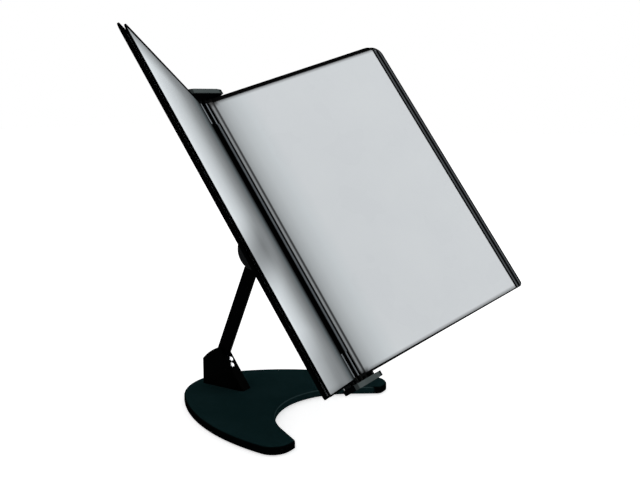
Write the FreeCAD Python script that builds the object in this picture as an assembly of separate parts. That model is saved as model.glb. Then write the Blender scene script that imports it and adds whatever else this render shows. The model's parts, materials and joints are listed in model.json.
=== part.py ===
"""Desk stand with four turning A4 pockets in a tilting holder, on an arm and a crescent base.

Millimetres. The origin lies on the desk, on the mirror plane of the stand, at the centre of the
base's round back. +X is the reader's right, -Y points at the reader and +Z is up.
"""
import FreeCAD, Part
import math
import os

Vector = FreeCAD.Vector
Placement = FreeCAD.Placement
Rotation = FreeCAD.Rotation

# Driving dimensions of the base, seen from above
base_width = 218.0
base_back_radius = 64.0
base_widest_y = -103.5
base_tip_y = -115.0
bay_side_margin = 31.5
bay_apex_y = -52.8
tip_width = 26.7
tip_outer_radius = 19.0
tip_inner_radius = 5.0
base_thickness = 7.5
base_edge_radius = 2.6
pad_thickness = 1.3
pad_inset = 2.0

# Arm socket on the base
lower_pivot_y = 34.0
lower_pivot_height = 32.5
socket_back_distance = 18.0
socket_back_height = 27.2
socket_front_distance = 15.0
socket_front_slope = 55.0
socket_crest_height = 43.0
socket_crown_bow = 1.8
socket_width = 14.0
socket_edge = 0.9
socket_crest_radius = 4.0
socket_back_radius = 3.0
socket_screw_pitch = 34.0
socket_screw_radius = 2.4
socket_screw_head_radius = 4.6
socket_screw_head_height = 2.4
socket_screw_reach = 7.0

# Support arm and its two friction pivots
arm_length = 135.7
arm_lean = 22.0
arm_swing = 30.0
arm_thickness = 6.0
arm_depth = 14.6
arm_edge_radius = 1.6
lower_eye_radius = 11.5
upper_eye_radius = 17.5
pivot_radius = 4.0
washer_thickness = 0.7
washer_margin = 0.6
cheek_thickness = 4.0

# Two bright friction screws in the socket's sloping face
friction_screw_radius = 1.5
friction_head_radius = 2.6
friction_head_height = 1.3
friction_upper_drop = 4.3
friction_upper_x = 0.3
friction_lower_drop = 10.4
friction_lower_x = -2.4
friction_slot_width = 0.6
friction_slot_depth = 0.5

# Upper pivot bolt and nut
bolt_head_radius = 7.0
bolt_head_height = 3.6
bolt_socket_radius = 2.6
bolt_socket_depth = 2.0
nut_across_flats = 13.0
nut_height = 5.0
nut_dome_height = 3.2

# Holder: channel, end plates and tilt bracket
holder_tilt = 35.0
holder_pivot_depth = 32.0
leaf_pivot_depth = 3.3
leaf_pitch = 8.25
leaf_angle = 28.9
rear_leaf_lean = 0.2
channel_width = 46.0
channel_wall = 2.2
channel_back_depth = 10.6
channel_bevel = 4.6
screw_port_radius = 2.6
screw_port_bore = 1.45
screw_port_inset = 4.8
screw_port_depth = 6.2
end_plate_width = 52.6
end_plate_thickness = 5.2
end_plate_front = 8.6
end_plate_back_margin = 1.4
end_plate_corner_run = 8.0
end_plate_corner_drop = 1.3
end_plate_back_corner = 7.3
end_plate_edge = 0.4
end_screw_head_radius = 2.8
end_screw_head_height = 1.6
end_screw_reach = 9.0
bracket_plate_width = 34.0
bracket_plate_height = 52.0
bracket_plate_thickness = 3.0
bracket_radius = 20.0
bracket_edge = 0.9
bracket_screw_pitch_w = 25.0
bracket_screw_pitch_s = 40.0
bracket_screw_radius = 1.7
bracket_screw_head_radius = 3.2
bracket_screw_head_height = 2.0
bracket_screw_tip = 0.5

# One leaf: pocket of two films in a hemmed wire frame, turning on a steel rod
leaf_height = 319.0
leaf_width = 225.2
leaf_drop = 0.7
leaf_top_radius = 13.0
leaf_bottom_radius = 4.6
rod_radius = 1.2
rod_seat_depth = 4.0
bottom_gap = 2.9
top_gap = 2.2
hem_thickness = 1.1
hem_top = 4.2
hem_outer = 5.3
hem_bottom_near = 2.1
hem_bottom_far = 1.2
hem_skin = 0.3
hem_inner_radius = 1.5
wire_radius = 0.32
film_thickness = 0.12
film_spacing = 0.3
film_spine_edge = 3.3
film_tab_edge = 2.1
mouth_drop = 0.6
card_thickness = 0.2
card_margin = 0.5
weld_line = 7.4
weld_width = 1.0
weld_depth = 0.05
sleeve_length = 262.0
sleeve_radius = 2.0
sleeve_reach = 3.5
sleeve_lip = 1.2
clip_length = 3.0
clip_reach = 8.0
clip_radius = 2.4

# Named clearances
running_clearance = 0.05
press_clearance = 0.02
seat_clearance = 0.1
stop_clearance = 0.3

# Values worked out from the driving dimensions
base_bottom = pad_thickness
base_top = pad_thickness + base_thickness
bay_radius = base_width / 2 - bay_side_margin
lower_pivot = Vector(0, lower_pivot_y, lower_pivot_height)
arm_direction = Vector(0, -math.sin(math.radians(arm_lean)), math.cos(math.radians(arm_lean)))
upper_pivot = lower_pivot + arm_direction * arm_length
knuckle_gap = arm_thickness / 2 + seat_clearance + washer_thickness
channel_floor = -channel_back_depth + channel_wall
rod_bottom = -leaf_height / 2 - bottom_gap
rod_top = leaf_height / 2 + top_gap
plate_bottom_face = rod_bottom - leaf_drop
plate_top_face = rod_top - leaf_drop
slot_half = film_spacing / 2 + film_thickness + seat_clearance
screw_port_w = channel_width / 2 - screw_port_inset
bracket_back = -channel_back_depth - bracket_plate_thickness

holder_to_world = Placement(Vector(0, 0, 0), Rotation(Vector(1, 0, 0), 90 - holder_tilt))
holder_to_world.Base = upper_pivot + holder_to_world.multVec(Vector(0, 0, holder_pivot_depth))
arm_to_world = Placement(lower_pivot, Rotation(Vector(1, 0, 0), arm_lean))


def rod_between(radius, start, end):
    """Straight round bar from one point to another."""
    return Part.makeCylinder(radius, start.distanceToPoint(end), start, end - start)


def taper_between(start_radius, end_radius, start, end):
    """Cone frustum from one point to another."""
    length = start.distanceToPoint(end)
    return Part.makeCone(start_radius, end_radius, length, start, end - start)


def block(low, high):
    """Box between two opposite corners."""
    size = Vector(*high) - Vector(*low)
    return Part.makeBox(size.x, size.y, size.z, Vector(*low))


def rounded_outline(corners):
    """Closed flat wire through (x, y, radius) corners, each rounded by a tangent arc."""
    bends = []
    for index, (x, y, radius) in enumerate(corners):
        here = Vector(x, y, 0)
        before = Vector(corners[index - 1][0], corners[index - 1][1], 0)
        following = corners[(index + 1) % len(corners)]
        after = Vector(following[0], following[1], 0)
        if radius == 0:
            bends.append((here, None, here))
            continue
        back = (before - here).normalize()
        ahead = (after - here).normalize()
        half_angle = back.getAngle(ahead) / 2
        reach = radius / math.tan(half_angle)
        centre = here + (back + ahead).normalize() * (radius / math.sin(half_angle))
        middle = centre + (here - centre).normalize() * radius
        bends.append((here + back * reach, middle, here + ahead * reach))
    edges = []
    for index, (start, middle, end) in enumerate(bends):
        if middle is not None:
            edges.append(Part.Arc(start, middle, end).toShape())
        next_start = bends[(index + 1) % len(bends)][0]
        if end.distanceToPoint(next_start) > 1e-6:
            edges.append(Part.makeLine(end, next_start))
    return Part.Wire(edges)


def slab(corners, low, high):
    """Plate of a rounded outline, from one height to another."""
    plate = Part.Face(rounded_outline(corners)).extrude(Vector(0, 0, high - low))
    plate.translate(Vector(0, 0, low))
    return plate


def side_profile(corners, half_width):
    """Solid of a rounded (y, z) outline, extruded evenly to both sides of the mirror plane."""
    solid = slab(corners, -half_width, half_width)
    solid.rotate(Vector(0, 0, 0), Vector(1, 1, 1), 120)
    return solid


def edges_where(shape, test):
    """Edges whose middle point passes a test."""
    return [edge for edge in shape.Edges if test(edge.CenterOfMass)]


def placed(shape, placement):
    """The shape moved from its own axes into the stand's axes."""
    moved = shape.copy()
    moved.Placement = placement.multiply(moved.Placement)
    return moved


def crescent_face(inset):
    """Plan of the base: a round back, bowed sides, two tips and a bay open to the reader."""
    back_radius = base_back_radius - inset
    half_width = base_width / 2 - inset
    tip_y = base_tip_y + inset
    bay = bay_radius + inset
    bay_centre = Vector(0, bay_apex_y - bay_radius, 0)
    side_radius = half_width ** 2 + base_widest_y ** 2 - back_radius ** 2
    side_radius /= 2 * (half_width - back_radius)
    side_x = half_width - side_radius
    side_centre = Vector(side_x, base_widest_y, 0)
    join = (Vector(0, 0, 0) - side_centre).normalize() * back_radius
    tip_x = side_x + math.sqrt(side_radius ** 2 - (tip_y - base_widest_y) ** 2)
    inner_x = tip_x - (tip_width - 2 * inset)
    to_tip = Vector(inner_x, tip_y, 0) - bay_centre
    touch = math.atan2(to_tip.y, to_tip.x) + math.acos(bay / to_tip.Length)
    bay_end = bay_centre + Vector(math.cos(touch), math.sin(touch), 0) * bay
    edges = [Part.Arc(join, Vector(0, back_radius, 0), Vector(-join.x, join.y, 0)).toShape()]
    for side in (1, -1):
        side_join = Vector(side * join.x, join.y, 0)
        widest = Vector(side * half_width, base_widest_y, 0)
        outer_tip = Vector(side * tip_x, tip_y, 0)
        inner_tip = Vector(side * inner_x, tip_y, 0)
        flank_end = Vector(side * bay_end.x, bay_end.y, 0)
        edges.append(Part.Arc(side_join, widest, outer_tip).toShape())
        edges.append(Part.makeLine(outer_tip, inner_tip))
        edges.append(Part.makeLine(inner_tip, flank_end))
    bay_top = bay_centre + Vector(0, bay, 0)
    left_end = Vector(-bay_end.x, bay_end.y, 0)
    edges.append(Part.Arc(left_end, bay_top, bay_end).toShape())
    return Part.Face(Part.Wire(Part.__sortEdges__(edges))), tip_x, inner_x, tip_y


def crescent(inset, low, high):
    """Crescent plate with rounded tips."""
    face, tip_x, inner_x, tip_y = crescent_face(inset)
    plate = face.extrude(Vector(0, 0, high - low))
    plate.translate(Vector(0, 0, low))
    for corner_x, radius in ((tip_x, tip_outer_radius - inset), (inner_x, tip_inner_radius)):
        corners = edges_where(plate, lambda middle: abs(abs(middle.x) - corner_x) < 1e-3
                              and abs(middle.y - tip_y) < 1e-3
                              and abs(middle.z - (low + high) / 2) < 1e-3)
        plate = plate.makeFillet(radius, corners)
    return plate


def socket_screw_places():
    """The two screw axes under the arm socket, in front of and behind the pivot."""
    middle_y = lower_pivot_y - (socket_front_distance - socket_back_distance / 2)
    return [middle_y - socket_screw_pitch / 2, middle_y + socket_screw_pitch / 2]


def base_plate():
    """Heavy crescent plate, top edge rounded, with countersunk holes from below."""
    plate = crescent(0, base_bottom, base_top)
    rim = edges_where(plate, lambda middle: middle.z > base_top - 1e-3)
    plate = plate.makeFillet(base_edge_radius, rim)
    for y in socket_screw_places():
        shank = rod_between(socket_screw_radius + running_clearance,
                            Vector(0, y, base_bottom), Vector(0, y, base_top))
        seat = taper_between(socket_screw_head_radius + running_clearance,
                             socket_screw_radius + running_clearance,
                             Vector(0, y, base_bottom),
                             Vector(0, y, base_bottom + socket_screw_head_height))
        plate = plate.cut(shank).cut(seat)
    return plate


def anti_slip_pad():
    """Rubber sheet under the whole plate, cut a little smaller than it."""
    return crescent(pad_inset, 0, pad_thickness)


def socket_screws():
    """Two countersunk screws, up through the base into the socket."""
    screws = []
    for y in socket_screw_places():
        bottom = Vector(0, y, base_bottom + seat_clearance)
        neck = bottom + Vector(0, 0, socket_screw_head_height - seat_clearance)
        top = Vector(0, y, base_top + socket_screw_reach)
        head = taper_between(socket_screw_head_radius - seat_clearance, socket_screw_radius,
                             bottom, neck)
        screws.append(head.fuse(rod_between(socket_screw_radius, neck, top)).removeSplitter())
    return Part.makeCompound(screws)


def front_slope():
    """Unit vectors of the socket's sloping face: up along it, and out of it."""
    slope = math.radians(socket_front_slope)
    along = Vector(0, math.cos(slope), math.sin(slope))
    outward = Vector(0, -math.sin(slope), math.cos(slope))
    return along, outward


def socket_front_point(height):
    """Point of the sloping face's middle line at a height."""
    along, outward = front_slope()
    nearest = lower_pivot + outward * socket_front_distance
    return nearest + along * ((height - nearest.z) / along.z)


def arm_slot():
    """Space that the arm sweeps in the socket, from its front stop to its rear stop."""
    gap = arm_depth / 2 + stop_clearance
    reach = socket_crest_height
    corners = []
    for lean, side in ((arm_lean, -1), (arm_lean - arm_swing, 1)):
        angle = math.radians(lean)
        along = Vector(0, -math.sin(angle), math.cos(angle))
        across = Vector(0, math.cos(angle), math.sin(angle))
        edge = lower_pivot + across * (gap * side)
        pair = [edge, edge + along * reach]
        corners.extend(pair if side < 0 else reversed(pair))
    sector = side_profile([(point.y, point.z, 0) for point in corners], knuckle_gap)
    cavity_radius = lower_eye_radius + stop_clearance
    cavity = rod_between(cavity_radius, lower_pivot - Vector(knuckle_gap, 0, 0),
                         lower_pivot + Vector(knuckle_gap, 0, 0))
    return sector.fuse(cavity)


def arm_socket():
    """Slim upright housing: a sloping front, a bowed crown that falls backwards, an upright back."""
    foot = socket_front_point(base_top)
    crest = socket_front_point(base_top + socket_crest_height)
    back_y = lower_pivot_y + socket_back_distance
    back = Vector(0, back_y, base_top + socket_back_height)
    back_foot = Vector(0, back_y, base_top)
    fall = back - crest
    crown = (crest + back) / 2 + Vector(0, -fall.z, fall.y).normalize() * socket_crown_bow
    outline = Part.Wire([Part.makeLine(foot, crest),
                         Part.Arc(crest, crown, back).toShape(),
                         Part.makeLine(back, back_foot),
                         Part.makeLine(back_foot, foot)])
    half = socket_width / 2
    body = Part.Face(outline).extrude(Vector(socket_width, 0, 0))
    body.translate(Vector(-half, 0, 0))
    for corner, radius in ((crest, socket_crest_radius), (back, socket_back_radius)):
        edge = edges_where(body, lambda middle: middle.distanceToPoint(corner) < 1e-3)
        body = body.makeFillet(radius, edge)
    side_edges = edges_where(body, lambda middle: abs(abs(middle.x) - half) < 1e-3
                             and middle.z > base_top + 1e-3)
    body = body.makeChamfer(socket_edge, side_edges)
    body = body.cut(arm_slot())
    body = body.cut(rod_between(pivot_radius + press_clearance,
                                lower_pivot - Vector(half, 0, 0), lower_pivot + Vector(half, 0, 0)))
    for y in socket_screw_places():
        top = base_top + socket_screw_reach + seat_clearance
        body = body.cut(rod_between(socket_screw_radius + running_clearance,
                                    Vector(0, y, base_top), Vector(0, y, top)))
    for head, tip in friction_screw_axes():
        body = body.cut(rod_between(friction_screw_radius + running_clearance, head, tip))
    return body


def friction_screw_axes():
    """Where each friction screw enters the sloping face, and where it meets the arm's eye."""
    along, outward = front_slope()
    angle = math.radians(arm_lean)
    arm_across = Vector(0, math.cos(angle), math.sin(angle))
    stop_line = lower_pivot - arm_across * (arm_depth / 2)
    face_middle = lower_pivot + outward * socket_front_distance
    gap = stop_line - face_middle
    arm_rate = arm_direction.dot(outward)
    meet = stop_line - arm_direction * (gap.dot(outward) / arm_rate)
    axes = []
    for drop, x in ((friction_upper_drop, friction_upper_x), (friction_lower_drop, friction_lower_x)):
        entry = meet - along * drop + Vector(x, 0, 0)
        off_axis = max(abs((entry - lower_pivot).dot(along)) - friction_screw_radius, 0)
        depth = socket_front_distance - math.sqrt(lower_eye_radius ** 2 - off_axis ** 2)
        axes.append((entry, entry - outward * (depth - stop_clearance)))
    return axes


def friction_screws():
    """Two bright screws in the sloping face, whose tips bear on the arm's eye."""
    along, outward = front_slope()
    screws = []
    for entry, tip in friction_screw_axes():
        crown = entry + outward * friction_head_height
        shank = rod_between(friction_screw_radius, tip, entry)
        rim = entry + outward * (friction_head_height * 0.5)
        head = rod_between(friction_head_radius, entry, rim)
        dome = taper_between(friction_head_radius, friction_head_radius * 0.6, rim, crown)
        screw = shank.fuse([head, dome])
        slot = block((-friction_head_radius, -friction_slot_width / 2, -friction_slot_depth),
                     (friction_head_radius, friction_slot_width / 2, friction_slot_depth))
        slot = placed(slot, Placement(crown, Rotation(Vector(0, 0, 1), outward)))
        screws.append(screw.cut(slot))
    return Part.makeCompound(screws)


def pivot_pin():
    """Plain pin of the lower pivot, flush with the socket's sides."""
    half = Vector(socket_width / 2, 0, 0)
    return rod_between(pivot_radius, lower_pivot - half, lower_pivot + half)


def washer_pair(outer_radius):
    """Two fibre washers, one against each cheek, with their centre at the origin."""
    rings = []
    for side in (1, -1):
        outside = Vector(side * knuckle_gap, 0, 0)
        inside = Vector(side * (knuckle_gap - washer_thickness), 0, 0)
        disc = rod_between(outer_radius, inside, outside)
        rings.append(disc.cut(rod_between(pivot_radius + seat_clearance, inside, outside)))
    return Part.makeCompound(rings)


def support_arm():
    """Flat bar with softened edges and a round eye at each end."""
    half = arm_thickness / 2
    bar = block((-half, -arm_depth / 2, 0), (half, arm_depth / 2, arm_length))
    long_edges = edges_where(bar, lambda middle: abs(abs(middle.x) - half) < 1e-3
                             and abs(middle.z - arm_length / 2) < 1e-3)
    bar = bar.makeFillet(arm_edge_radius, long_edges)
    top = Vector(0, 0, arm_length)
    side = Vector(half, 0, 0)
    arm = bar
    for centre, radius in ((Vector(0, 0, 0), lower_eye_radius), (top, upper_eye_radius)):
        arm = arm.fuse(rod_between(radius, centre - side, centre + side))
    for centre in (Vector(0, 0, 0), top):
        arm = arm.cut(rod_between(pivot_radius + running_clearance, centre - side, centre + side))
    return placed(arm.removeSplitter(), arm_to_world)


def leaf_pivots():
    """Name, side, pivot place across the holder and resting angle of each leaf."""
    places = []
    for side, side_name in ((-1, "left"), (1, "right")):
        for rank, rank_name in ((0, "front"), (1, "rear")):
            across = side * leaf_pitch * (rank + 0.5)
            angle = leaf_angle + rank * rear_leaf_lean
            places.append((side_name + "_" + rank_name, side, across, angle))
    return places


def channel_lip(across):
    """Depth of the channel wall's top, where the rear leaf's hem leans on it."""
    angle = math.radians(leaf_angle + rear_leaf_lean)
    rear_pivot = leaf_pitch * 1.5
    middle = -leaf_pivot_depth + (across - rear_pivot) * math.tan(angle)
    return middle - (hem_thickness / 2 + stop_clearance) / math.cos(angle)


def holder_channel():
    """Extruded trough behind the spines: bevelled back corners, leaning lips and two screw ports."""
    half = channel_width / 2
    inner = half - channel_wall
    back = -channel_back_depth
    inner_bevel = channel_bevel - channel_wall * (2 - math.sqrt(2))
    right_half = [(half - channel_bevel, back), (half, back + channel_bevel),
                  (half, channel_lip(half)), (inner, channel_lip(inner)),
                  (inner, channel_floor + inner_bevel), (inner - inner_bevel, channel_floor)]
    section = right_half + [(-w, n) for w, n in reversed(right_half)]
    length = plate_top_face - plate_bottom_face
    points = [Vector(w, plate_bottom_face, n) for w, n in section]
    channel = Part.Face(Part.makePolygon(points + points[:1])).extrude(Vector(0, length, 0))
    for side in (1, -1):
        start = Vector(side * screw_port_w, plate_bottom_face, -screw_port_depth)
        end = start + Vector(0, length, 0)
        channel = channel.fuse(rod_between(screw_port_radius, start, end))
    for side in (1, -1):
        start = Vector(side * screw_port_w, plate_bottom_face, -screw_port_depth)
        channel = channel.cut(rod_between(screw_port_bore, start, start + Vector(0, length, 0)))
    for w, s in bracket_screw_places():
        channel = channel.cut(rod_between(bracket_screw_radius + running_clearance,
                                          Vector(w, s, back), Vector(w, s, channel_floor)))
    return placed(channel.removeSplitter(), holder_to_world)


def end_plate(inner_face, outer_face):
    """End plate of the holder, with chamfered corners, blind pivot holes and screw seats."""
    half = end_plate_width / 2
    back = -channel_back_depth - end_plate_back_margin
    shoulder = end_plate_front - end_plate_corner_drop
    brow = half - end_plate_corner_run
    corner = end_plate_back_corner
    right_half = [(half - corner, back), (half, back + corner), (half, shoulder),
                  (brow, end_plate_front)]
    section = right_half + [(-w, n) for w, n in reversed(right_half)]
    low = min(inner_face, outer_face)
    points = [Vector(w, low, n) for w, n in section]
    plate = Part.Face(Part.makePolygon(points + points[:1])).extrude(Vector(0, end_plate_thickness, 0))
    plate = plate.makeChamfer(end_plate_edge, edges_where(
        plate, lambda middle: abs(middle.y - outer_face) < 1e-3))
    outward = math.copysign(1, outer_face - inner_face)
    for name, side, across, angle in leaf_pivots():
        mouth = Vector(across, inner_face, -leaf_pivot_depth)
        bottom = mouth + Vector(0, outward * (rod_seat_depth + stop_clearance), 0)
        plate = plate.cut(rod_between(rod_radius + running_clearance, mouth, bottom))
    for side in (1, -1):
        inside = Vector(side * screw_port_w, inner_face, -screw_port_depth)
        outside = inside + Vector(0, outward * end_plate_thickness, 0)
        seat = outside - Vector(0, outward * (end_screw_head_height + seat_clearance), 0)
        plate = plate.cut(rod_between(screw_port_bore, inside, outside))
        plate = plate.cut(rod_between(end_screw_head_radius + running_clearance, seat, outside))
    return placed(plate, holder_to_world)


def end_plate_screws():
    """Four pan-head screws, two through each end plate into the channel's ports."""
    screws = []
    for inner_face, outward in ((plate_bottom_face, -1), (plate_top_face, 1)):
        for side in (1, -1):
            inside = Vector(side * screw_port_w, inner_face, -screw_port_depth)
            outside = inside + Vector(0, outward * end_plate_thickness, 0)
            under_head = outside - Vector(0, outward * end_screw_head_height, 0)
            tip = inside - Vector(0, outward * end_screw_reach, 0)
            head = rod_between(end_screw_head_radius, under_head, outside)
            shank = rod_between(screw_port_bore - running_clearance, tip, under_head)
            screws.append(head.fuse(shank).removeSplitter())
    return placed(Part.makeCompound(screws), holder_to_world)


def bracket_screw_places():
    """The four screw axes that hold the tilt bracket on the channel."""
    return [(w * bracket_screw_pitch_w / 2, s * bracket_screw_pitch_s / 2)
            for w in (-1, 1) for s in (-1, 1)]


def tilt_bracket():
    """Flange on the channel's back with two round cheeks that clasp the arm's upper eye."""
    flange = slab([(-bracket_plate_width / 2, -bracket_plate_height / 2, 5),
                   (bracket_plate_width / 2, -bracket_plate_height / 2, 5),
                   (bracket_plate_width / 2, bracket_plate_height / 2, 5),
                   (-bracket_plate_width / 2, bracket_plate_height / 2, 5)],
                  bracket_back, -channel_back_depth)
    top = Vector(0, bracket_radius, -holder_pivot_depth)
    rear = Vector(0, 0, -holder_pivot_depth - bracket_radius)
    bottom = Vector(0, -bracket_radius, -holder_pivot_depth)
    seat_depth = bracket_back + bracket_plate_thickness / 2
    front_top = Vector(0, bracket_radius, seat_depth)
    front_bottom = Vector(0, -bracket_radius, seat_depth)
    outline = Part.Wire([Part.makeLine(front_top, top),
                         Part.Arc(top, rear, bottom).toShape(),
                         Part.makeLine(bottom, front_bottom),
                         Part.makeLine(front_bottom, front_top)])
    outer = knuckle_gap + cheek_thickness
    knuckle = Part.Face(outline).extrude(Vector(2 * outer, 0, 0))
    knuckle.translate(Vector(-outer, 0, 0))
    rim = edges_where(knuckle, lambda middle: abs(abs(middle.x) - outer) < 1e-3
                      and middle.z < seat_depth - 1e-3)
    knuckle = knuckle.makeChamfer(bracket_edge, rim)
    gap_low = (-knuckle_gap, -bracket_radius - 1, -holder_pivot_depth - bracket_radius - 1)
    gap_high = (knuckle_gap, bracket_radius + 1, bracket_back)
    bracket = knuckle.cut(block(gap_low, gap_high)).fuse(flange)
    centre = Vector(0, 0, -holder_pivot_depth)
    half = Vector(outer, 0, 0)
    bracket = bracket.cut(rod_between(pivot_radius + press_clearance, centre - half, centre + half))
    for w, s in bracket_screw_places():
        bracket = bracket.cut(rod_between(bracket_screw_radius + running_clearance,
                                          Vector(w, s, bracket_back),
                                          Vector(w, s, -channel_back_depth)))
    return placed(bracket.removeSplitter(), holder_to_world)


def bracket_screws():
    """Four pan-head screws through the bracket's flange into the channel's floor."""
    screws = []
    for w, s in bracket_screw_places():
        seat = Vector(w, s, bracket_back)
        head = rod_between(bracket_screw_head_radius, seat - Vector(0, 0, bracket_screw_head_height),
                           seat)
        tip = Vector(w, s, channel_floor + bracket_screw_tip)
        screws.append(head.fuse(rod_between(bracket_screw_radius, seat, tip)).removeSplitter())
    return placed(Part.makeCompound(screws), holder_to_world)


def upper_pivot_bolt():
    """Button-head bolt through both cheeks and the arm's eye, with a socket in its head."""
    outer = knuckle_gap + cheek_thickness
    seat = Vector(-outer, 0, -holder_pivot_depth)
    crown = seat - Vector(bolt_head_height, 0, 0)
    shoulder = seat - Vector(bolt_head_height / 3, 0, 0)
    end = Vector(outer + nut_height, 0, -holder_pivot_depth)
    head = rod_between(bolt_head_radius, shoulder, seat)
    dome = taper_between(bolt_head_radius, bolt_head_radius * 0.6, shoulder, crown)
    bolt = rod_between(pivot_radius, seat, end).fuse([head, dome])
    drive = hexagon_bar(bolt_socket_radius, crown, crown + Vector(bolt_socket_depth, 0, 0))
    return placed(bolt.cut(drive).removeSplitter(), holder_to_world)


def hexagon_bar(flat_radius, start, end):
    """Six-sided bar along X between two points, by its inner radius."""
    corner_radius = flat_radius / math.cos(math.radians(30))
    points = []
    for step in range(7):
        angle = math.radians(60 * step)
        points.append(start + Vector(0, math.cos(angle), math.sin(angle)) * corner_radius)
    return Part.Face(Part.makePolygon(points)).extrude(end - start)


def upper_pivot_nut():
    """Domed nut on the bolt's far end."""
    outer = knuckle_gap + cheek_thickness
    seat = Vector(outer, 0, -holder_pivot_depth)
    top = seat + Vector(nut_height + seat_clearance, 0, 0)
    crown = top + Vector(nut_dome_height, 0, 0)
    body = hexagon_bar(nut_across_flats / 2, seat, top)
    dome = taper_between(nut_across_flats / 2, nut_across_flats / 4, top, crown)
    nut = body.fuse(dome).cut(rod_between(pivot_radius + running_clearance, seat, top))
    return placed(nut.removeSplitter(), holder_to_world)


def leaf_outline(side, inset, spine_edge):
    """Corners of a leaf's outline with an even inset, from a spine edge outwards."""
    top = leaf_height / 2 - inset
    outer = leaf_width - inset
    return [(side * spine_edge, -top, 0), (side * outer, -top, leaf_bottom_radius - inset),
            (side * outer, top, leaf_top_radius - inset), (side * spine_edge, top, 0)]


def pivot_rod():
    """Steel rod along the spine, whose ends turn in the end plates."""
    bottom = Vector(0, rod_bottom - rod_seat_depth, 0)
    top = Vector(0, rod_top + rod_seat_depth, 0)
    return rod_between(rod_radius, bottom, top)


def frame_wire(side):
    """Steel wire bent round the pocket inside the hem, butting on the rod at both ends."""
    inset = hem_skin + wire_radius
    start_u = rod_radius + seat_clearance
    corners = leaf_outline(side, inset, start_u)
    closed = rounded_outline(corners)
    spine_u = side * start_u
    path_edges = [edge for edge in closed.Edges if abs(edge.CenterOfMass.x - spine_u) > 1e-3]
    path = Part.Wire(Part.__sortEdges__(path_edges))
    start = Vector(spine_u, -leaf_height / 2 + inset, 0)
    circle = Part.makeCircle(wire_radius, start, Vector(1, 0, 0))
    return path.makePipeShell([Part.Wire(circle)], True, False)


def edge_hem(side):
    """Black edging of folded tape on the pocket's top, outer side and bottom, with a slot inside."""
    half = hem_thickness / 2
    body = slab(leaf_outline(side, 0, clip_reach), -half, half)
    inner_top = leaf_height / 2 - hem_top
    inner_outer = leaf_width - hem_outer
    window = slab([(side * (clip_reach - 1), -leaf_height / 2 + hem_bottom_near, 0),
                   (side * inner_outer, -leaf_height / 2 + hem_bottom_far, hem_inner_radius),
                   (side * inner_outer, inner_top, hem_inner_radius),
                   (side * (clip_reach - 1), inner_top, 0)], -half - 1, half + 1)
    slot = slab(leaf_outline(side, hem_skin - seat_clearance / 2, clip_reach - 1),
                -slot_half, slot_half)
    return body.cut(window).cut(slot)


def pocket_film(side, layer):
    """One matt film of the pocket, with its weld line; the front one ends at the mouth."""
    inset = hem_skin + 2 * wire_radius + seat_clearance
    top = leaf_height / 2 - inset
    outer = leaf_width - inset
    clip_edge = clip_reach + seat_clearance
    clip_side = leaf_height / 2 - clip_length - seat_clearance
    tab_side = sleeve_length / 2 - seat_clearance
    half_outline = [(clip_edge, top), (clip_edge, clip_side), (film_spine_edge, clip_side),
                    (film_spine_edge, tab_side), (film_tab_edge, tab_side)]
    corners = [(side * outer, -top, leaf_bottom_radius - inset),
               (side * outer, top, leaf_top_radius - inset)]
    corners += [(side * u, v, 0) for u, v in half_outline]
    corners += [(side * u, -v, 0) for u, v in reversed(half_outline)]
    inside = film_spacing / 2
    outside = inside + film_thickness
    low, high = (inside, outside) if layer > 0 else (-outside, -inside)
    film = slab(corners, low, high)
    groove_near = weld_line - weld_width / 2
    groove_far = weld_line + weld_width / 2
    groove_u = sorted((side * groove_near, side * groove_far))
    surface = high if layer > 0 else low
    groove = block((groove_u[0], -leaf_height / 2, surface - weld_depth),
                   (groove_u[1], leaf_height / 2, surface + weld_depth))
    film = film.cut(groove)
    if layer > 0:
        mouth = leaf_height / 2 - hem_top - mouth_drop
        film = film.cut(block((-leaf_width, mouth, low - 1), (leaf_width, leaf_height, high + 1)))
    return film


def insert_card(side):
    """Blank card that fills the pocket's window between the two films."""
    near = weld_line + weld_width / 2 + card_margin
    far = leaf_width - hem_outer - card_margin
    low = -leaf_height / 2 + hem_bottom_near + card_margin
    high = leaf_height / 2 - hem_top - mouth_drop - card_margin
    corners = [(side * near, low, 0), (side * far, low, 0), (side * far, high, 0),
               (side * near, high, 0)]
    return slab(corners, -card_thickness / 2, card_thickness / 2)


def spine_sleeve(side):
    """Tape folded round the rod over the middle of the spine, clasping both films' edges."""
    start = Vector(0, -sleeve_length / 2, 0)
    end = Vector(0, sleeve_length / 2, 0)
    tube = rod_between(sleeve_radius, start, end)
    reach = sorted((0, side * sleeve_reach))
    flap = block((reach[0], start.y, -sleeve_lip), (reach[1], end.y, sleeve_lip))
    slot_u = sorted((side * (film_tab_edge - seat_clearance), side * (sleeve_reach + 1)))
    slot = block((slot_u[0], start.y - 1, -slot_half), (slot_u[1], end.y + 1, slot_half))
    bore = rod_between(rod_radius + running_clearance, start, end)
    return tube.fuse(flap).cut(slot).cut(bore).removeSplitter()


def corner_clips(side):
    """Two moulded clips that hold the wire frame's ends on the rod, with collars to the end plates."""
    clips = []
    for end, plate_face in ((1, rod_top), (-1, rod_bottom)):
        outer_v = end * leaf_height / 2
        inner_v = end * (leaf_height / 2 - clip_length)
        collar_v = plate_face - end * stop_clearance
        low_v, high_v = sorted((inner_v, outer_v))
        barrel = rod_between(clip_radius, Vector(0, inner_v, 0), Vector(0, collar_v, 0))
        reach = sorted((0, side * clip_reach))
        half = hem_thickness / 2
        tail = block((reach[0], low_v, -half), (reach[1], high_v, half))
        bore = rod_between(rod_radius + running_clearance, Vector(0, inner_v, 0),
                           Vector(0, collar_v, 0))
        wire_v = end * (leaf_height / 2 - hem_skin - wire_radius)
        tunnel = rod_between(wire_radius + running_clearance, Vector(0, wire_v, 0),
                             Vector(side * clip_reach, wire_v, 0))
        clips.append(barrel.fuse(tail).cut(bore).cut(tunnel).removeSplitter())
    return Part.makeCompound(clips)


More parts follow.
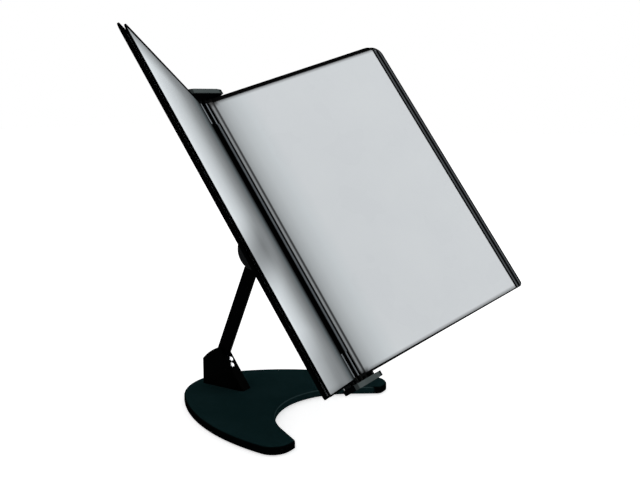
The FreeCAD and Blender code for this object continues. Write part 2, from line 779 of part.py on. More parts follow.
def leaf_pieces(side):
    """All pieces of one leaf on its own axes: u outwards, v up the spine, rod at the origin."""
    return {"pivot_rod": pivot_rod(),
            "frame_wire": frame_wire(side),
            "edge_hem": edge_hem(side),
            "front_film": pocket_film(side, 1),
            "back_film": pocket_film(side, -1),
            "insert_card": insert_card(side),
            "spine_sleeve": spine_sleeve(side),
            "corner_clips": corner_clips(side)}


def build_nodes():
    """Every node of the stand, by name."""
    lower_washers = washer_pair(lower_eye_radius - washer_margin)
    lower_washers.translate(lower_pivot)
    upper_washers = washer_pair(upper_eye_radius - washer_margin)
    upper_washers.translate(upper_pivot)
    nodes = {"base_plate": base_plate(),
             "anti_slip_pad": anti_slip_pad(),
             "arm_socket": arm_socket(),
             "socket_screws": socket_screws(),
             "lower_pivot_pin": pivot_pin(),
             "lower_friction_washers": lower_washers,
             "friction_screws": friction_screws(),
             "support_arm": support_arm(),
             "upper_friction_washers": upper_washers,
             "upper_pivot_bolt": upper_pivot_bolt(),
             "upper_pivot_nut": upper_pivot_nut(),
             "tilt_bracket": tilt_bracket(),
             "bracket_screws": bracket_screws(),
             "holder_channel": holder_channel(),
             "bottom_end_plate": end_plate(plate_bottom_face, plate_bottom_face - end_plate_thickness),
             "top_end_plate": end_plate(plate_top_face, plate_top_face + end_plate_thickness),
             "end_plate_screws": end_plate_screws()}
    for name, side, across, angle in leaf_pivots():
        swing = Placement(Vector(across, -leaf_drop, -leaf_pivot_depth),
                          Rotation(Vector(0, 1, 0), -side * angle))
        leaf_to_world = holder_to_world.multiply(swing)
        for piece_name, shape in leaf_pieces(side).items():
            nodes[name + "_" + piece_name] = placed(shape, leaf_to_world)
    return nodes


os.makedirs("parts", exist_ok=True)
for node_name, node_shape in build_nodes().items():
    node_shape.exportStep("parts/" + node_name + ".step")
    print(node_name, len(node_shape.Solids), "solids", round(node_shape.Volume), "mm3")
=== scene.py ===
# %% [markdown]
# A desktop display panel stand
#
# The stand holds four clear pockets that turn like the leaves of a book. The solids come from the
# CAD file, already in their places and in metres, so this lesson is about everything that a solid
# does not have: finishes, a floor, light and a camera.

# %% Load the frame
import bmesh
import bpy
import json
import math
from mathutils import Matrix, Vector


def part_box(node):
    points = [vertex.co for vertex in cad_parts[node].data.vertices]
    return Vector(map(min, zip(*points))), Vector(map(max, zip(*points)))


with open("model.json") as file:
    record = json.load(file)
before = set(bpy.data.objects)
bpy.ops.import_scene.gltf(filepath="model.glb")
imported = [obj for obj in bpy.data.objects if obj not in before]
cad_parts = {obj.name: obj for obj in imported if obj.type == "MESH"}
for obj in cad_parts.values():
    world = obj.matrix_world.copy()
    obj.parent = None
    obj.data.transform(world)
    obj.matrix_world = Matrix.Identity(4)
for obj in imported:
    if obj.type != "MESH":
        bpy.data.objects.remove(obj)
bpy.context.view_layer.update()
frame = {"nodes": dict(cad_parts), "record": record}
print("nodes:", len(frame["nodes"]))

# %% [markdown]
# The camera comes first, because every finish is judged through it. The picture that we follow was
# taken with a longish lens, from a little above the desk and well round to the reader's left. We
# could turn a camera by its angles until it fits, but three plain facts are easier to read: its
# place in metres, the direction that it looks along, and a lens for a 36 mm wide sensor.

# %% Camera
camera_place = Vector((-0.68015, -0.50642, 0.31122))
look_direction = Vector((0.8406, 0.5147, -0.1685))
lens_length = 47.706
sensor_width = 36.0
nearest_seen = 0.01
farthest_seen = 60.0


def put_and_aim(thing, place, direction):
    """Put a camera or a lamp at its place, looking along a direction."""
    bpy.context.scene.collection.objects.link(thing)
    thing.location = place
    thing.rotation_mode = "QUATERNION"
    thing.rotation_quaternion = direction.to_track_quat("-Z", "Y")


def make_camera():
    data = bpy.data.cameras.new("photo_camera")
    data.sensor_width = sensor_width
    data.lens = lens_length
    data.clip_start = nearest_seen
    data.clip_end = farthest_seen
    camera = bpy.data.objects.new("photo_camera", data)
    put_and_aim(camera, camera_place, look_direction)
    bpy.context.scene.camera = camera
    return camera


camera = make_camera()
print("camera distance to the origin:", round(camera.location.length, 3), "m")

# %% [markdown]
# Materials are small graphs of nodes. Nearly all of ours start the same way: the point's own place
# on the object goes through a Mapping node into a Noise texture. Object coordinates are in metres
# here, so a noise of scale 1000 has specks of about a millimetre on every piece, large or small.

# %% A material and its noise


def new_material(name):
    material = bpy.data.materials.new(name)
    material.use_nodes = True
    nodes = material.node_tree.nodes
    shader = nodes["Principled BSDF"]
    place = nodes.new("ShaderNodeTexCoord")
    return material, nodes, material.node_tree.links, shader, place


def noise_from(nodes, links, place, scale, detail=3.0, stretch=(1, 1, 1), turn=(0, 0, 0)):
    mapping = nodes.new("ShaderNodeMapping")
    mapping.inputs["Scale"].default_value = stretch
    mapping.inputs["Rotation"].default_value = turn
    links.new(place.outputs["Object"], mapping.inputs["Vector"])
    noise = nodes.new("ShaderNodeTexNoise")
    noise.inputs["Scale"].default_value = scale
    noise.inputs["Detail"].default_value = detail
    links.new(mapping.outputs["Vector"], noise.inputs["Vector"])
    return noise


print("materials before the first finish:", len(bpy.data.materials))

# %% [markdown]
# The noise does three jobs. It shifts the colour a little, it varies the roughness, and as a bump
# it breaks up the highlight. A noise seldom leaves the middle of its range, so the ramps behind it
# use only that middle. We write these steps once, and each finish below only says what is special
# about it.

# %% Colour, roughness and bump from a noise
colour_middle = (0.35, 0.65)
roughness_middle = (0.3, 0.7)
grain_detail = 2.0


def mottle_colours(nodes, links, mottle, dark, light):
    """Colours that follow a noise, dark where it is low and light where it is high."""
    ramp = nodes.new("ShaderNodeValToRGB")
    low, high = ramp.color_ramp.elements
    low.position, high.position = colour_middle
    low.color = (*dark, 1)
    high.color = (*light, 1)
    links.new(mottle.outputs["Fac"], ramp.inputs["Fac"])
    return ramp.outputs["Color"]


def vary_roughness(nodes, links, mottle, shader, roughness):
    """Roughness that follows a noise between two values."""
    level = nodes.new("ShaderNodeMapRange")
    level.inputs["From Min"].default_value = roughness_middle[0]
    level.inputs["From Max"].default_value = roughness_middle[1]
    level.inputs["To Min"].default_value = roughness[0]
    level.inputs["To Max"].default_value = roughness[1]
    links.new(mottle.outputs["Fac"], level.inputs["Value"])
    links.new(level.outputs["Result"], shader.inputs["Roughness"])


def bump(nodes, links, noise, shader, height):
    """Bumps that follow a noise, with a height in metres."""
    lift = nodes.new("ShaderNodeBump")
    lift.inputs["Distance"].default_value = height
    links.new(noise.outputs["Fac"], lift.inputs["Height"])
    links.new(lift.outputs["Normal"], shader.inputs["Normal"])


def surface(nodes, links, place, shader, mottle, roughness, grain_scale, grain_height, gloss):
    """Roughness from the mottle, a fine grain as bump, and one level of gloss."""
    vary_roughness(nodes, links, mottle, shader, roughness)
    grain = noise_from(nodes, links, place, grain_scale, grain_detail)
    bump(nodes, links, grain, shader, grain_height)
    shader.inputs["Specular IOR Level"].default_value = gloss


def grained(name, dark, light, roughness, grain_scale, grain_height, mottle_scale=30.0,
            gloss=0.5, metallic=0.0):
    """A finish with a slow mottle in its colour and roughness and a fine grain in its bump."""
    material, nodes, links, shader, place = new_material(name)
    mottle = noise_from(nodes, links, place, mottle_scale)
    links.new(mottle_colours(nodes, links, mottle, dark, light), shader.inputs["Base Color"])
    surface(nodes, links, place, shader, mottle, roughness, grain_scale, grain_height, gloss)
    shader.inputs["Metallic"].default_value = metallic
    return material


print("noise middle for colours and for roughness:", colour_middle, roughness_middle)

# %% [markdown]
# Many finishes on this stand change with the place on the piece: along a leaf, or from the front of
# a part to its back. A dot product turns a point into its distance along any direction that we
# like, a smooth step turns that distance into a mask, and a ramp turns it into colours. Cycles
# keeps a ramp as a table of 256 entries, so a ramp that draws a fine line spans a short reach only.

# %% Distances and masks


def math_of(nodes, links, operation, *values):
    """One Math node, from sockets and plain numbers."""
    node = nodes.new("ShaderNodeMath")
    node.operation = operation
    for entry, value in zip(node.inputs, values):
        if isinstance(value, (int, float)):
            entry.default_value = value
        else:
            links.new(value, entry)
    return node.outputs[0]


def distance_along(nodes, links, place, direction, start):
    """How far a point lies from a start along a direction, in metres."""
    dot = nodes.new("ShaderNodeVectorMath")
    dot.operation = "DOT_PRODUCT"
    dot.inputs[1].default_value = direction
    links.new(place.outputs["Object"], dot.inputs[0])
    return math_of(nodes, links, "SUBTRACT", dot.outputs["Value"], start.dot(direction))


def soft_step(nodes, links, source, start, end, low=0.0, high=1.0):
    """A mask that goes smoothly from low at the start to high at the end."""
    step = nodes.new("ShaderNodeMapRange")
    step.interpolation_type = "SMOOTHSTEP"
    step.inputs["From Min"].default_value = start
    step.inputs["From Max"].default_value = end
    step.inputs["To Min"].default_value = low
    step.inputs["To Max"].default_value = high
    links.new(source, step.inputs["Value"])
    return step.outputs["Result"]


def step_colours(nodes, links, source, reach, stops):
    """Colour ramp over a distance from zero to the reach, from (distance, colour) stops."""
    ramp = nodes.new("ShaderNodeValToRGB")
    line = ramp.color_ramp
    while len(line.elements) < len(stops):
        line.elements.new(0.5)
    for element, (distance, colour) in zip(line.elements, stops):
        element.position = distance / reach
        element.color = (*colour, 1)
    links.new(math_of(nodes, links, "DIVIDE", source, reach), ramp.inputs["Fac"])
    return ramp.outputs["Color"]


print("distances and masks ready")

# %% [markdown]
# A mask is no use until it mixes two colours. One Mix node does that, and with its mode on Multiply
# it also lays a shade over a colour. The tones of the films are greys that lean a little to blue,
# so a grey is written as one level and one cast.

# %% Mixes


def blended(nodes, links, how, amount, first, second):
    """Mix of two colours by a mask or a number; a colour is a socket or three numbers."""
    mix = nodes.new("ShaderNodeMix")
    mix.data_type = "RGBA"
    mix.blend_type = how
    for entry, value in ((mix.inputs["Factor"], amount), (mix.inputs[6], first),
                         (mix.inputs[7], second)):
        if isinstance(value, tuple):
            entry.default_value = (*value, 1)
        elif isinstance(value, float):
            entry.default_value = value
        else:
            links.new(value, entry)
    return mix.outputs[2]


def mottled(nodes, links, colour, mottle, dimmest):
    """A colour that is dimmed a little where the mottle is low."""
    dimming = mottle_colours(nodes, links, mottle, dimmest, (1, 1, 1))
    return blended(nodes, links, "MULTIPLY", 1.0, colour, dimming)


def grey(level, cast=(1.0, 1.0, 1.0)):
    """A grey of one level, with a slight colour cast."""
    return tuple(level * part for part in cast)


print("half grey, leaning to blue:", grey(0.5, (0.9, 1.0, 1.1)))

# %% [markdown]
# The base is a heavy iron casting under semi-matt paint, a very dark green-blue. Cast surfaces are
# never quite even, so the grain is coarse and shallow. Two marks of light are painted into its
# colour: a painted shade makes the outer rim nearly black, and a thin painted highlight runs along
# the rounded edge inside the bay. Soft studio light alone draws neither, so two masks do: one
# follows how far the surface faces upwards, from 0 on a wall to 1 on a level face, and the other
# follows the distance from the middle of the bay.

# %% Paint of the base
# The outer rim's colour is a painted shade, nearly black.
rim_painted_shade = (0.0008, 0.0012, 0.0013)
paint_dark = (0.0052, 0.0168, 0.0178)
paint_light = (0.007, 0.02, 0.0214)
# A painted highlight: the thin pale line on the rounded edge inside the bay.
bay_highlight_colour = (0.03, 0.056, 0.058)
paint_rise = (0.55, 0.97)
highlight_rise = (0.2, 0.45)
highlight_fall = (0.8, 0.55)
bay_centre = Vector((0, -0.1303, 0))
bay_radius = 0.0775
bay_rim_width = 0.003
bay_blur = 0.001


def distance_from_bay(nodes, links, place):
    """How far a point lies from the upright axis of the bay, in metres."""
    from_centre = nodes.new("ShaderNodeVectorMath")
    from_centre.operation = "SUBTRACT"
    from_centre.inputs[1].default_value = bay_centre
    links.new(place.outputs["Object"], from_centre.inputs[0])
    level = nodes.new("ShaderNodeVectorMath")
    level.operation = "MULTIPLY"
    level.inputs[1].default_value = (1, 1, 0)
    links.new(from_centre.outputs[0], level.inputs[0])
    radius = nodes.new("ShaderNodeVectorMath")
    radius.operation = "LENGTH"
    links.new(level.outputs[0], radius.inputs[0])
    return radius.outputs["Value"]


def cast_paint():
    material, nodes, links, shader, place = new_material("base_paint")
    mottle = noise_from(nodes, links, place, scale=22.0)
    paint = mottle_colours(nodes, links, mottle, paint_dark, paint_light)
    normal = nodes.new("ShaderNodeSeparateXYZ")
    links.new(place.outputs["Normal"], normal.inputs[0])
    upward = normal.outputs["Z"]
    bay_end = bay_radius + bay_rim_width
    in_bay = soft_step(nodes, links, distance_from_bay(nodes, links, place),
                       bay_end + bay_blur, bay_end)
    # Painted shade: outside the bay, faces that do not look upwards get the nearly black rim
    # colour.
    unshaded = math_of(nodes, links, "MAXIMUM", soft_step(nodes, links, upward, *paint_rise), in_bay)
    colour = blended(nodes, links, "MIX", unshaded, rim_painted_shade, paint)
    # Painted highlight: the thin pale line on the rounded edge inside the bay.
    line = math_of(nodes, links, "MULTIPLY", soft_step(nodes, links, upward, *highlight_rise),
                   soft_step(nodes, links, upward, *highlight_fall))
    line = math_of(nodes, links, "MULTIPLY", line, in_bay)
    links.new(blended(nodes, links, "MIX", line, colour, bay_highlight_colour), shader.inputs["Base Color"])
    surface(nodes, links, place, shader, mottle, roughness=(0.5, 0.62), grain_scale=900.0,
            grain_height=0.00006, gloss=0.0)
    return material


base_paint = cast_paint()
print("paint of the base:", base_paint.name)

# %% [markdown]
# The socket, the arm and the tilt bracket wear a black powder coat. Powder melts into a skin with a
# fine, even grain, so one helper makes all three coats. They differ in little more than how deep
# the black is.

# %% Powder coats
black_paint = grained("black_paint", dark=(0.0003, 0.0004, 0.0004), light=(0.0006, 0.0008, 0.0007),
                      roughness=(0.4, 0.5), grain_scale=1500, grain_height=0.00004, gloss=0.003)
bracket_coat = grained("bracket_coat", dark=(0.0055, 0.0061, 0.0066),
                       light=(0.0072, 0.0079, 0.0085), roughness=(0.42, 0.52),
                       grain_scale=1500, grain_height=0.00004, gloss=0.01)
arm_paint = grained("arm_paint", dark=(0.0003, 0.0003, 0.0004), light=(0.0006, 0.0006, 0.0007),
                    roughness=(0.38, 0.48), grain_scale=1500, grain_height=0.00004, gloss=0.003)
print("powder coats:", black_paint.name, bracket_coat.name, arm_paint.name)

# %% [markdown]
# The bare metals differ mostly in how they were worked. The holder's channel is an aluminium
# extrusion with fine lines along its length, anodised nearly black. The wires are drawn steel. A
# noise becomes such lines when it is stretched along the spine, which a Mapping node does. The two
# small screws in the socket are nickel plated, and they are the brightest things on the stand.

# %% Metals
spine_turn = math.radians(55)
line_stretch = 0.02


def drawn_metal(name, dark, light, roughness, line_scale, line_height):
    """Metal with fine lines along the spine of the holder."""
    material, nodes, links, shader, place = new_material(name)
    lines = noise_from(nodes, links, place, line_scale, stretch=(1, line_stretch, 1),
                       turn=(-spine_turn, 0, 0))
    links.new(mottle_colours(nodes, links, lines, dark, light), shader.inputs["Base Color"])
    vary_roughness(nodes, links, lines, shader, roughness)
    bump(nodes, links, lines, shader, line_height)
    shader.inputs["Metallic"].default_value = 1.0
    return material


channel_coat = drawn_metal("channel_coat", dark=(0.004, 0.0045, 0.0045),
                           light=(0.008, 0.0088, 0.009), roughness=(0.34, 0.46),
                           line_scale=1800, line_height=0.00003)
bright_wire = drawn_metal("bright_wire", dark=(0.066, 0.074, 0.08), light=(0.11, 0.123, 0.132),
                          roughness=(0.24, 0.36), line_scale=3000, line_height=0.00001)
zinc_steel = grained("zinc_steel", dark=(0.42, 0.42, 0.4), light=(0.55, 0.55, 0.53),
                     roughness=(0.3, 0.42), grain_scale=2500, grain_height=0.00001, metallic=1.0)
bright_screws = grained("bright_screws", dark=(0.72, 0.73, 0.75), light=(0.86, 0.86, 0.87),
                        roughness=(0.14, 0.22), grain_scale=3000, grain_height=0.000005,
                        metallic=1.0)
blackened_steel = grained("blackened_steel", dark=(0.012, 0.012, 0.013),
                          light=(0.025, 0.025, 0.026), roughness=(0.34, 0.46),
                          grain_scale=2500, grain_height=0.00001, metallic=1.0)
print("metals:", channel_coat.name, bright_wire.name, zinc_steel.name, bright_screws.name,
      blackened_steel.name)

# %% [markdown]
# Every leaf has its own direction, and its finishes follow that direction. So we measure the leaves
# once: the middle of the rod, and the way out from it. The holder leans back by one angle for all
# of them, so one spine direction serves every leaf.

# %% The directions of the leaves
leaf_angle = math.radians(29)
spine_direction = Vector((0, math.cos(spine_turn), math.sin(spine_turn)))
holder_front = Vector((0, -math.sin(spine_turn), math.cos(spine_turn)))


def middle_of(node):
    low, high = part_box(node)
    return (Vector(low) + Vector(high)) / 2


leaves = {}
for side, side_name in ((-1, "left"), (1, "right")):
    out_direction = (Vector((side, 0, 0)) * math.cos(leaf_angle)
                     + holder_front * math.sin(leaf_angle))
    for rank_name in ("front", "rear"):
        leaf = side_name + "_" + rank_name
        rod = middle_of(leaf + "_pivot_rod")
        height = (middle_of(leaf + "_front_film") - rod).dot(spine_direction)
        leaves[leaf] = (side, rod + spine_direction * height, out_direction)
print("leaves:", {leaf: [round(part, 4) for part in rod] for leaf, (_, rod, _) in leaves.items()})

# %% [markdown]
# The end plates of the holder are black moulded plastic with a fine spark-eroded grain.
# Their front face gets a grey-green painted reflection of the light in front, the narrow facet
# beside it a darker painted reflection, and the rest stays black. We could pick out the faces and
# give each zone a material of its own, but one material that reads the distance in front of the
# rods does it without touching the mesh.

# %% Plastic of the end plates
face_distance = 0.0119
face_depth = 0.0003
facet_drop = 0.0013
zone_blur = 0.0002
plate_reach = 0.0125
side_black = (0.0012, 0.0018, 0.002)
# Painted reflections: the grey-green front face and the darker grey facet.
facet_painted_reflection = (0.025, 0.03, 0.03)
face_painted_reflection = (0.074, 0.088, 0.088)


def zoned_plastic():
    material, nodes, links, shader, place = new_material("end_plate_plastic")
    middle = (leaves["left_front"][1] + leaves["right_front"][1]) / 2
    forward = distance_along(nodes, links, place, holder_front, middle)
    facet_start = face_distance - facet_drop
    face_start = face_distance - face_depth
    zones = step_colours(nodes, links, forward, plate_reach,
                         [(0.0, side_black), (facet_start - zone_blur, side_black),
                          (facet_start, facet_painted_reflection), (face_start - zone_blur, facet_painted_reflection),
                          (face_start, face_painted_reflection)])
    mottle = noise_from(nodes, links, place, scale=60.0)
    links.new(mottled(nodes, links, zones, mottle, dimmest=(0.86, 0.88, 0.87)),
              shader.inputs["Base Color"])
    surface(nodes, links, place, shader, mottle, roughness=(0.42, 0.54), grain_scale=3500.0,
            grain_height=0.00003, gloss=0.0)
    return material


end_plate_plastic = zoned_plastic()
print("plastic of the end plates:", end_plate_plastic.name)

# %% [markdown]
# Three small finishes need no zones. The corner clips are a smooth black moulding, the washers in
# the pivots are pressed fibre with a fleck, and the pad under the base is matt rubber. The plain
# grained finish serves all three, each with its own scales.

# %% Other plastics, fibre and rubber
black_plastic = grained("black_plastic", dark=(0.0008, 0.001, 0.001), light=(0.0016, 0.002, 0.002),
                        roughness=(0.3, 0.4), grain_scale=3000, grain_height=0.00002,
                        mottle_scale=90.0, gloss=0.02)
fibre_washer = grained("fibre_washer", dark=(0.02, 0.016, 0.013), light=(0.045, 0.036, 0.03),
                       roughness=(0.7, 0.85), grain_scale=2200, grain_height=0.00005,
                       mottle_scale=500.0)
pad_rubber = grained("pad_rubber", dark=(0.004, 0.004, 0.004), light=(0.008, 0.008, 0.008),
                     roughness=(0.75, 0.9), grain_scale=1800, grain_height=0.00008,
                     mottle_scale=120.0)
print("plastic, fibre and rubber:", black_plastic.name, fibre_washer.name, pad_rubber.name)

# %% [markdown]
# The edging of a leaf is a folded black tape. On the right leaves, the outer edging gets a grey
# painted highlight down its middle, with a dark line left at each side, and the sleeve round the
# rod gets one thin painted highlight along its crown, with a dimmer painted shoulder beside it. On
# the left leaves both stay plain black. Plain studio light gives none of these lines, so they are
# drawn by the distance from the rod, like the face of the end plates.

# %% Edging tape and spine sleeve
tape_black = (0.0008, 0.0009, 0.001)
# Painted highlights of the right leaves: the edging's middle, the sleeve's crown and shoulder.
hem_painted_highlight = (0.08, 0.087, 0.092)
crown_painted_highlight = (0.115, 0.129, 0.138)
shoulder_painted_highlight = (0.018, 0.022, 0.024)
right_tape_gloss = 0.01
leaf_width = 0.2252
hem_width = 0.0053
inner_lip = 0.0021
outer_lip = 0.0017
fold_blur = 0.0003
sleeve_start = -0.0025
sleeve_reach = 0.007


def hem_stops(middle):
    """Colours of an edging from its inner side: black lip, painted highlight, black lip."""
    outer_start = hem_width - outer_lip
    return [(0.0, tape_black), (inner_lip - fold_blur, tape_black), (inner_lip, middle),
            (outer_start, middle), (outer_start + fold_blur, tape_black)]


def sleeve_stops(crown, shoulder):
    """Colours of a sleeve along the leaf: painted highlight on the crown, dimmer on the shoulder.
    """
    return [(0.0, tape_black), (0.0014, tape_black), (0.0021, crown), (0.0034, crown),
            (0.0042, shoulder), (0.0050, tape_black)]


def tape(name, leaf, first, reach, stops):
    """Black tape whose colour follows the distance from a first line of the leaf."""
    side, rod, out_direction = leaves[leaf]
    material, nodes, links, shader, place = new_material(name)
    along = distance_along(nodes, links, place, out_direction, rod + out_direction * first)
    zones = step_colours(nodes, links, along, reach, stops)
    mottle = noise_from(nodes, links, place, scale=90.0)
    links.new(mottled(nodes, links, zones, mottle, dimmest=(0.82, 0.82, 0.84)),
              shader.inputs["Base Color"])
    surface(nodes, links, place, shader, mottle, roughness=(0.42, 0.52), grain_scale=2600.0,
            grain_height=0.00003, gloss=right_tape_gloss if side > 0 else 0.0)
    return material


hem_tapes = {}
sleeve_tapes = {}
for leaf, (side, _, _) in leaves.items():
    if side > 0:
        middle, crown, shoulder = hem_painted_highlight, crown_painted_highlight, shoulder_painted_highlight
    else:
        middle = crown = shoulder = tape_black
    hem_tapes[leaf] = tape(leaf + "_hem_tape", leaf, leaf_width - hem_width, hem_width,
                           hem_stops(middle))
    sleeve_tapes[leaf] = tape(leaf + "_sleeve_tape", leaf, sleeve_start, sleeve_reach,
                              sleeve_stops(crown, shoulder))
print("tapes:", [hem_tape.name for hem_tape in hem_tapes.values()])

# %% [markdown]
# Each pocket is made of two milky films welded together near the spine, with a blank card between
# them. The film hides the card, so the film carries the colour. The strip of film between the
# sleeve and the weld has no card behind it and looks darker, and the weld itself is a thin dark
# line. Past the weld, a painted shade from the fold between the leaves darkens the film near the
# spine, and the film gets paler with the distance from it, fast on the right leaves and slowly on
# the left ones, whose film beside the spine is painted nearly black. Each list below holds such
# distances and tones.

# %% Card and the tones of the film
grey_card = grained("grey_card", dark=(0.6, 0.63, 0.65), light=(0.64, 0.67, 0.69),
                    roughness=(0.55, 0.65), grain_scale=2600, grain_height=0.00002,
                    mottle_scale=12.0)
cool = (0.93, 0.99, 1.02)
cooler = (0.86, 1.0, 1.05)
barely_cool = (0.955, 0.997, 1.025)
right_spine = [(0.0, grey(0.04, cool)), (0.0038, grey(0.05, cool)), (0.0048, grey(0.32, cool)),
               (0.0062, grey(0.25, cool)), (0.0072, grey(0.04, cool)),
               (0.0085, grey(0.045, cool)), (0.0096, grey(0.36, cool))]
# Painted shade near the spine, fading into the film's own pale grey.
right_tones = [(0.010, grey(0.4, cool)), (0.015, grey(0.49, cool)), (0.025, grey(0.612, cool)),
               (0.040, grey(0.706, cool)), (0.055, grey(0.738, barely_cool)),
               (0.100, grey(0.725, barely_cool))]
# Painted shade: the left films are nearly black beside the spine.
left_spine = [(0.0, grey(0.004, cooler)), (0.005, grey(0.008, cooler)),
              (0.0096, grey(0.02, cooler))]
# Painted shade that fades slowly across the whole left leaf.
left_tones = [(0.010, grey(0.022, cooler)), (0.020, grey(0.07, cooler)),
              (0.035, grey(0.15, cooler)), (0.055, grey(0.195, cool)), (0.100, grey(0.335, cool)),
              (0.160, grey(0.64, cool)), (0.212, grey(0.84, cool))]
print("tones, right and left:", len(right_tones), len(left_tones))

# %% [markdown]
# The picture also shows soft shade on the left leaves: towards the top, towards the bottom, and in
# one slanting band below the middle. Plain studio light gives none of it, so we put it into the
# colour of the front films there, weaker than in the picture, because it stays in place from every
# side. Each shade is a mask on a distance: up the spine for the two ends, and for the band along a
# direction that leans outwards a little.

# %% Soft shade of the left films
half_height = 0.16
end_shade = [(0.002, grey(0.3)), (0.007, grey(0.55)), (0.030, grey(0.68)), (0.040, grey(0.8)),
             (0.056, grey(1.0)), (0.289, grey(1.0)), (0.300, grey(0.77)), (0.310, grey(0.56)),
             (0.316, grey(0.42))]
end_shade_rise = (0.06, 0.14)
band_lean = 0.25
band_out = 0.1
band_down = 0.018
band_half_width = 0.036
band_rise = (0.065, 0.14)
band_depth = 0.54


def left_shade(nodes, links, place, along, rod, out_direction):
    """Multiplier for the shade near both ends of a left leaf and in its slanting band."""
    up = distance_along(nodes, links, place, spine_direction, rod - spine_direction * half_height)
    ends = step_colours(nodes, links, up, 2 * half_height, end_shade)
    outer_part = soft_step(nodes, links, along, *end_shade_rise)
    ends = blended(nodes, links, "MIX", outer_part, (1.0, 1.0, 1.0), ends)
    lean = spine_direction + out_direction * band_lean
    band_start = rod + out_direction * band_out - spine_direction * band_down
    from_band = math_of(nodes, links, "ABSOLUTE",
                        distance_along(nodes, links, place, lean, band_start))
    band = soft_step(nodes, links, from_band, 0.0, band_half_width, 1.0, 0.0)
    depth = soft_step(nodes, links, along, *band_rise, 0.0, band_depth)
    light = math_of(nodes, links, "SUBTRACT", 1.0, math_of(nodes, links, "MULTIPLY", band, depth))
    return blended(nodes, links, "MULTIPLY", 1.0, ends, light)


print("slanting band, half width:", band_half_width, "m")

# %% [markdown]
# The other films get two smaller shades, as the picture shows them on the right leaves: a soft dark
# corner beside each clip, and a thin shade along the edging of both ends. Top and bottom are alike,
# so the distance from the middle of the leaf, without its sign, serves both.

# %% Corner shade of the other films
corner_rise = (0.150, 0.1565)
clip_fall = (0.0155, 0.0105)
corner_depth = 0.85
edge_rise = (0.1525, 0.1565)
edge_depth = 0.55


def corner_shade(nodes, links, place, along, rod):
    """Multiplier for the soft dark corner beside each clip, and the thin shade along the edging."""
    up = math_of(nodes, links, "ABSOLUTE",
                 distance_along(nodes, links, place, spine_direction, rod))
    near_end = soft_step(nodes, links, up, *corner_rise)
    near_clip = soft_step(nodes, links, along, *clip_fall)
    corner = math_of(nodes, links, "MULTIPLY", near_end, near_clip)
    corner = math_of(nodes, links, "MULTIPLY", corner, corner_depth)
    edge = soft_step(nodes, links, up, *edge_rise, 0.0, edge_depth)
    return math_of(nodes, links, "SUBTRACT", 1.0,
                   math_of(nodes, links, "MAXIMUM", corner, edge))


print("corner shade starts", corner_rise[0], "m from the middle of the leaf")

# %% [markdown]
# Now the films themselves. Each has two ramps, because the fine lines at the spine need a short
# ramp and the wide pocket needs a long one, and a mask past the weld changes from one to the other.
# Only the front films of the left leaves get the left tones. The rear one of them ends in a dark
# band of painted shade, where it lies in the narrow gap behind the edging of the front leaf; left
# pale, that end would show as bright dots beside the edging.

# %% Film
spine_reach = 0.02
pocket_reach = 0.226
weld_distance = 0.0079
weld_margin = 0.0013
weld_blur = 0.0008
back_gloss = 0.15
right_front_gloss = 0.1
left_front_gloss = 0.0
cloud_scale = 14.0
cloud_height = 0.0006
film_roughness = (0.24, 0.34)
# Painted shade at the outer end of the rear left film, in the gap behind the front leaf.
painted_gap_shade = [(0.202, grey(0.68, cool)), (0.208, grey(0.002))]


def pocket_film(name, leaf, spine_stops, tones, gloss, left_shaded):
    """Milky film of one leaf: clear strip, weld line, then the pocket's tones and painted shade."""
    _, rod, out_direction = leaves[leaf]
    material, nodes, links, shader, place = new_material(name)
    along = distance_along(nodes, links, place, out_direction, rod)
    spine_zone = step_colours(nodes, links, along, spine_reach, spine_stops)
    pocket_zone = step_colours(nodes, links, along, pocket_reach, tones)
    pocket_start = weld_distance + weld_margin
    past_weld = soft_step(nodes, links, along, pocket_start, pocket_start + weld_blur)
    colour = blended(nodes, links, "MIX", past_weld, spine_zone, pocket_zone)
    if left_shaded:
        shade = left_shade(nodes, links, place, along, rod, out_direction)
    else:
        shade = corner_shade(nodes, links, place, along, rod)
    colour = blended(nodes, links, "MULTIPLY", 1.0, colour, shade)
    cloud = noise_from(nodes, links, place, cloud_scale)
    links.new(mottled(nodes, links, colour, cloud, dimmest=(0.975, 0.975, 0.98)),
              shader.inputs["Base Color"])
    vary_roughness(nodes, links, cloud, shader, film_roughness)
    bump(nodes, links, cloud, shader, cloud_height)
    shader.inputs["Specular IOR Level"].default_value = gloss
    return material


films = {}
for leaf, (side, _, _) in leaves.items():
    back_film = leaf + "_back_film"
    front_film = leaf + "_front_film"
    films[back_film] = pocket_film(back_film, leaf, right_spine, right_tones, back_gloss,
                                   left_shaded=False)
    if side > 0:
        films[front_film] = pocket_film(front_film, leaf, right_spine, right_tones,
                                        right_front_gloss, left_shaded=False)
    else:
        tones = (left_tones[:-1] + painted_gap_shade) if leaf == "left_rear" else left_tones
        films[front_film] = pocket_film(front_film, leaf, left_spine, tones, left_front_gloss,
                                        left_shaded=True)
print("films:", sorted(films))

# %% [markdown]
# The record of the part names one slot for each node. We give every slot its finish in a table, and
# a loop hands the finishes out, so that no node is forgotten. Films and tapes are different on each
# leaf, so those nodes are found by their names.

# %% Give the solids their finishes
finishes = {"base_paint": base_paint, "black_paint": black_paint, "arm_paint": arm_paint,
            "channel_coat": channel_coat, "end_plate_plastic": end_plate_plastic,
            "pad_rubber": pad_rubber, "zinc_steel": zinc_steel, "bright_screws": bright_screws,
            "blackened_steel": blackened_steel, "fibre_washer": fibre_washer,
            "bright_wire": bright_wire, "black_plastic": black_plastic, "grey_card": grey_card}

